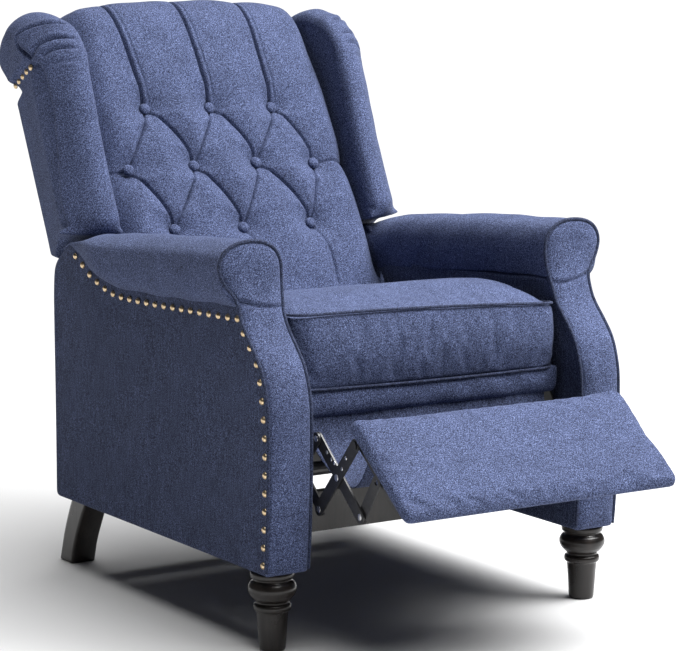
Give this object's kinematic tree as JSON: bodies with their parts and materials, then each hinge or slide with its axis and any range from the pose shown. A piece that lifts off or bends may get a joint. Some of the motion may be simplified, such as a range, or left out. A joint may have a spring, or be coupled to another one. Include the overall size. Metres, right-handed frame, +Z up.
{
  "type": "recliner armchair",
  "caption": "Push-back recliner armchair with rolled arms, winged button-tufted back, turned front legs and a scissor footrest.",
  "frame": {"origin": "on the floor, under the middle of the whole chair's box with the footrest partly out", "axes": "+Z up, the sitter faces -Y, +X to the right as seen from the front"},
  "size_m": [0.7138, 1.1984, 0.9656],
  "materials": {
    "upholstery": "heathered navy woven fabric, matt",
    "leg_wood": "black-brown satin lacquer",
    "frame_wood": "bare softwood and plywood",
    "linkage_steel": "black semi-gloss paint on steel",
    "spring_steel": "drawn steel wire",
    "nail_brass": "antique brass",
    "rivet_zinc": "zinc plated"
  },
  "bodies": {
    "base": {"arm_body_left": "upholstery", "arm_body_right": "upholstery", "arm_roll_left": "upholstery", "arm_roll_right": "upholstery", "arm_facing_left": "upholstery", "arm_facing_right": "upholstery", "leg_front_left": "leg_wood", "leg_front_right": "leg_wood", "leg_rear_left": "leg_wood", "leg_rear_right": "leg_wood", "cross_rail_front": "leg_wood", "cross_rail_rear": "leg_wood", "base_rail_left": "linkage_steel", "base_rail_right": "linkage_steel"},
    "seat": {"seat_cushion": "upholstery", "seat_apron": "upholstery", "seat_rail_front": "frame_wood", "seat_rail_rear": "frame_wood", "seat_rail_left": "frame_wood", "seat_rail_right": "frame_wood", "seat_spring_1": "spring_steel", "seat_spring_2": "spring_steel", "seat_spring_3": "spring_steel", "seat_spring_4": "spring_steel", "side_plate_left": "linkage_steel", "side_plate_right": "linkage_steel", "footrest_sling": "upholstery"},
    "back": {"back_cushion": "upholstery", "back_post_left": "frame_wood", "back_post_right": "frame_wood", "back_rail_top": "frame_wood", "back_rail_bottom": "frame_wood", "back_cover": "upholstery", "back_bracket_left": "linkage_steel", "back_bracket_right": "linkage_steel", "wing_left": "upholstery", "wing_right": "upholstery"},
    "upper_links": {"link_upper_left": "linkage_steel", "link_upper_right": "linkage_steel", "torque_tube": "linkage_steel"},
    "lower_links": {"link_lower_left": "linkage_steel", "link_lower_right": "linkage_steel"},
    "front_links": {"link_front_left": "linkage_steel", "link_front_right": "linkage_steel"},
    "rear_links": {"link_rear_left": "linkage_steel", "link_rear_right": "linkage_steel"},
    "brace_links": {"link_brace_left": "linkage_steel", "link_brace_right": "linkage_steel"},
    "footrest": {"footrest_bracket_left": "linkage_steel", "footrest_bracket_right": "linkage_steel", "footrest_board": "frame_wood", "footrest_pad": "upholstery"}
  },
  "joints": [
    {"name": "seat_slide", "type": "slide", "parent": "base", "child": "seat", "axis": [0, -1, 0], "range_m": [-0.005, 0.018]},
    {"name": "back_recline", "type": "hinge", "parent": "seat", "child": "back", "pos_m": [0, 0.29956, 0.33], "axis": [-1, 0, 0], "range_deg": [-5, 20]},
    {"name": "footrest_open", "type": "hinge", "parent": "seat", "child": "upper_links", "pos_m": [0, -0.29594, 0.27], "axis": [1, 0, 0], "range_deg": [-30, 17], "deforming": ["footrest_sling"]},
    {"name": "lower_link_swing", "type": "hinge", "parent": "seat", "child": "lower_links", "pos_m": [0, -0.29594, 0.27], "axis": [-1, 0, 0], "range_deg": [-33.5, 19]},
    {"name": "front_link_swing", "type": "hinge", "parent": "upper_links", "child": "front_links", "pos_m": [0, -0.3461, 0.3271], "axis": [-1, 0, 0], "range_deg": [-64, 36]},
    {"name": "rear_link_swing", "type": "hinge", "parent": "lower_links", "child": "rear_links", "pos_m": [0, -0.3533, 0.22014], "axis": [1, 0, 0], "range_deg": [-64, 36]},
    {"name": "brace_swing", "type": "hinge", "parent": "front_links", "child": "brace_links", "pos_m": [0, -0.46082, 0.22737], "axis": [1, 0, 0], "range_deg": [-73, 41]},
    {"name": "footrest_tilt", "type": "hinge", "parent": "rear_links", "child": "footrest", "pos_m": [0, -0.45362, 0.33433], "axis": [-1, 0, 0], "range_deg": [-80.5, 46]}
  ],
  "couplings": [
    {"joint": "seat_slide", "follows": "back_recline", "m_per_rad": 0.05},
    {"joint": "lower_link_swing", "follows": "footrest_open", "ratio": 1.1},
    {"joint": "front_link_swing", "follows": "footrest_open", "ratio": 2.1},
    {"joint": "rear_link_swing", "follows": "footrest_open", "ratio": 2.1},
    {"joint": "brace_swing", "follows": "footrest_open", "ratio": 2.4},
    {"joint": "footrest_tilt", "follows": "footrest_open", "ratio": 2.65}
  ]
}
